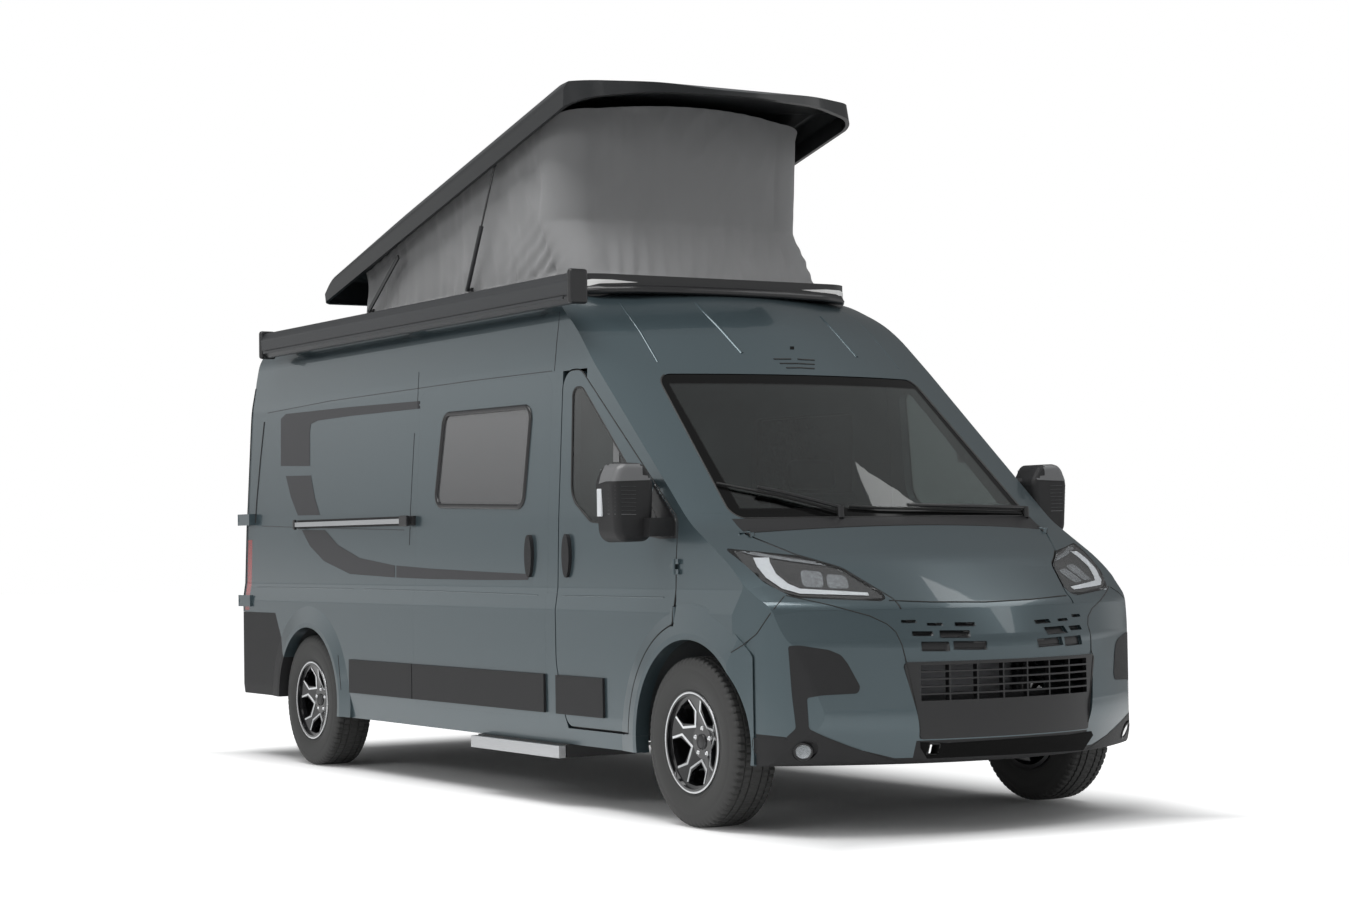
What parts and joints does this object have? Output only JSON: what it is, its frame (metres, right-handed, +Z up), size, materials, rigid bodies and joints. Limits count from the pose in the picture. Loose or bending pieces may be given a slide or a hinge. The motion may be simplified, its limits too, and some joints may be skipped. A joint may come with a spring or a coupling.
{
  "type": "camper van",
  "caption": "Panel-van camper with a raised tilting sleeping roof on struts and tent cloth, side awning, sliding side door, entrance step, hinged doors and a cab with seats.",
  "frame": {"origin": "on the floor under the centre of the van's overall box", "axes": "+X to the front, +Y to the van's left, +Z up"},
  "size_m": [5.978, 2.5014, 3.42],
  "materials": {
    "paint": "metallic gloss",
    "dark_plastic": "grained",
    "grille_plastic": "satin",
    "lamp_clear": "clear",
    "lamp_red": "gloss",
    "glass": "tinted",
    "fittings_plastic": "grained",
    "tyre": "matt",
    "alloy": "painted with machined edges",
    "chassis_steel": "satin",
    "floor_steel": "satin",
    "engine_iron": "cast",
    "tank_plastic": "matt",
    "interior_plastic": "grained",
    "seat_fabric": "woven",
    "awning_metal": "satin",
    "step_metal": "brushed",
    "roof_shell": "gloss",
    "roof_frame_plastic": "satin",
    "strut_steel": "satin",
    "strut_chrome": "polished",
    "tent_cloth": "coated cloth"
  },
  "bodies": {
    "body": {"body_side_right": "paint", "body_side_left": "paint", "roof_panel": "paint", "header_panel": "paint", "fender_right": "paint", "fender_left": "paint", "sliding_door": "paint", "front_bumper": "paint", "bumper_cladding": "dark_plastic", "rear_bumper": "dark_plastic", "cowl": "dark_plastic", "step_housing": "dark_plastic", "grille": "grille_plastic", "headlights": "lamp_clear", "tail_lights": "lamp_red", "windscreen": "glass", "side_windows": "glass", "side_fittings": "fittings_plastic", "underframe": "chassis_steel", "front_suspension": "chassis_steel", "rear_axle": "chassis_steel", "floor_pan": "floor_steel", "engine": "engine_iron", "tanks": "tank_plastic", "dashboard": "interior_plastic", "front_seats": "seat_fabric", "awning": "awning_metal", "roof_frame": "roof_frame_plastic"},
    "bonnet": {"bonnet": "paint"},
    "cab_door_right": {"cab_door_right": "paint", "cab_window_right": "glass", "cab_fittings_right": "fittings_plastic"},
    "cab_door_left": {"cab_door_left": "paint", "cab_window_left": "glass", "cab_fittings_left": "fittings_plastic"},
    "rear_door_right": {"rear_door_right": "paint", "rear_window_right": "glass"},
    "rear_door_left": {"rear_door_left": "paint", "rear_window_left": "glass"},
    "knuckle_right": {"knuckle_right": "chassis_steel"},
    "knuckle_left": {"knuckle_left": "chassis_steel"},
    "wheel_front_right": {"tyre_front_right": "tyre", "rim_front_right": "alloy"},
    "wheel_front_left": {"tyre_front_left": "tyre", "rim_front_left": "alloy"},
    "wheel_rear_right": {"tyre_rear_right": "tyre", "rim_rear_right": "alloy"},
    "wheel_rear_left": {"tyre_rear_left": "tyre", "rim_rear_left": "alloy"},
    "steering_wheel": {"steering_wheel": "interior_plastic"},
    "pop_roof": {"pop_roof": "roof_shell", "tent": "tent_cloth"},
    "strut_tubes": {"strut_tubes": "strut_steel"},
    "strut_rods": {"strut_rods": "strut_chrome"},
    "lift_arms": {"lift_arms": "strut_steel"},
    "step_tread": {"step_tread": "step_metal"}
  },
  "joints": [
    {"name": "steer_left", "type": "hinge", "parent": "body", "child": "knuckle_left", "pos_m": [2.051, 0.755, 0.362], "axis": [0, 0, 1], "range_deg": [-36, 36]},
    {"name": "steer_right", "type": "hinge", "parent": "body", "child": "knuckle_right", "pos_m": [2.051, -0.755, 0.362], "axis": [0, 0, 1], "range_deg": [-36, 36]},
    {"name": "steering_wheel_turn", "type": "hinge", "parent": "body", "child": "steering_wheel", "pos_m": [1.59235, 0.42996, 1.1093], "axis": [-0.8829, 0, 0.4695], "range_deg": [-540, 540]},
    {"name": "wheel_front_right_spin", "type": "hinge", "parent": "knuckle_right", "child": "wheel_front_right", "pos_m": [2.051, -0.905, 0.362], "axis": [0, 1, 0], "continuous": true},
    {"name": "wheel_front_left_spin", "type": "hinge", "parent": "knuckle_left", "child": "wheel_front_left", "pos_m": [2.051, 0.905, 0.362], "axis": [0, 1, 0], "continuous": true},
    {"name": "wheel_rear_right_spin", "type": "hinge", "parent": "body", "child": "wheel_rear_right", "pos_m": [-1.984, -0.895, 0.362], "axis": [0, 1, 0], "continuous": true},
    {"name": "wheel_rear_left_spin", "type": "hinge", "parent": "body", "child": "wheel_rear_left", "pos_m": [-1.984, 0.895, 0.362], "axis": [0, 1, 0], "continuous": true},
    {"name": "cab_door_right_swing", "type": "hinge", "parent": "body", "child": "cab_door_right", "pos_m": [1.92206, -1.003, 1], "axis": [0, 0, 1], "range_deg": [0, 70]},
    {"name": "cab_door_left_swing", "type": "hinge", "parent": "body", "child": "cab_door_left", "pos_m": [1.92206, 1.003, 1], "axis": [0, 0, -1], "range_deg": [0, 70]},
    {"name": "rear_door_right_swing", "type": "hinge", "parent": "body", "child": "rear_door_right", "pos_m": [-2.991, -1.017, 1.1], "axis": [0, 0, 1], "range_deg": [0, 180]},
    {"name": "rear_door_left_swing", "type": "hinge", "parent": "body", "child": "rear_door_left", "pos_m": [-2.991, 1.017, 1.1], "axis": [0, 0, -1], "range_deg": [0, 180]},
    {"name": "bonnet_lift", "type": "hinge", "parent": "body", "child": "bonnet", "pos_m": [2.18787, 0, 1.24638], "axis": [0, -1, 0], "range_deg": [0, 50]},
    {"name": "pop_roof_tilt", "type": "hinge", "parent": "body", "child": "pop_roof", "pos_m": [-2.57014, 0, 2.502], "axis": [0, 1, 0], "range_deg": [0, 13.7], "deforming": ["tent"]},
    {"name": "strut_tubes_swing", "type": "hinge", "parent": "body", "child": "strut_tubes", "pos_m": [-0.44295, 0, 2.522], "axis": [0, 1, 0], "range_deg": [0, 62]},
    {"name": "strut_rods_slide", "type": "slide", "parent": "strut_tubes", "child": "strut_rods", "axis": [-0.4729, 0, -0.8811], "range_m": [0, 0.282]},
    {"name": "lift_arms_swing", "type": "hinge", "parent": "body", "child": "lift_arms", "pos_m": [-1.65005, 0, 2.516], "axis": [0, 1, 0], "range_deg": [0, 30.2]},
    {"name": "step_slide", "type": "slide", "parent": "body", "child": "step_tread", "axis": [0, -1, 0], "range_m": [0, 0.3]}
  ],
  "couplings": [
    {"joint": "steer_right", "follows": "steer_left", "ratio": 1},
    {"joint": "steering_wheel_turn", "follows": "steer_left", "ratio": 15},
    {"joint": "strut_tubes_swing", "follows": "pop_roof_tilt", "ratio": 4.4876},
    {"joint": "strut_rods_slide", "follows": "pop_roof_tilt", "m_per_rad": 1.1773},
    {"joint": "lift_arms_swing", "follows": "pop_roof_tilt", "ratio": 2.197}
  ]
}
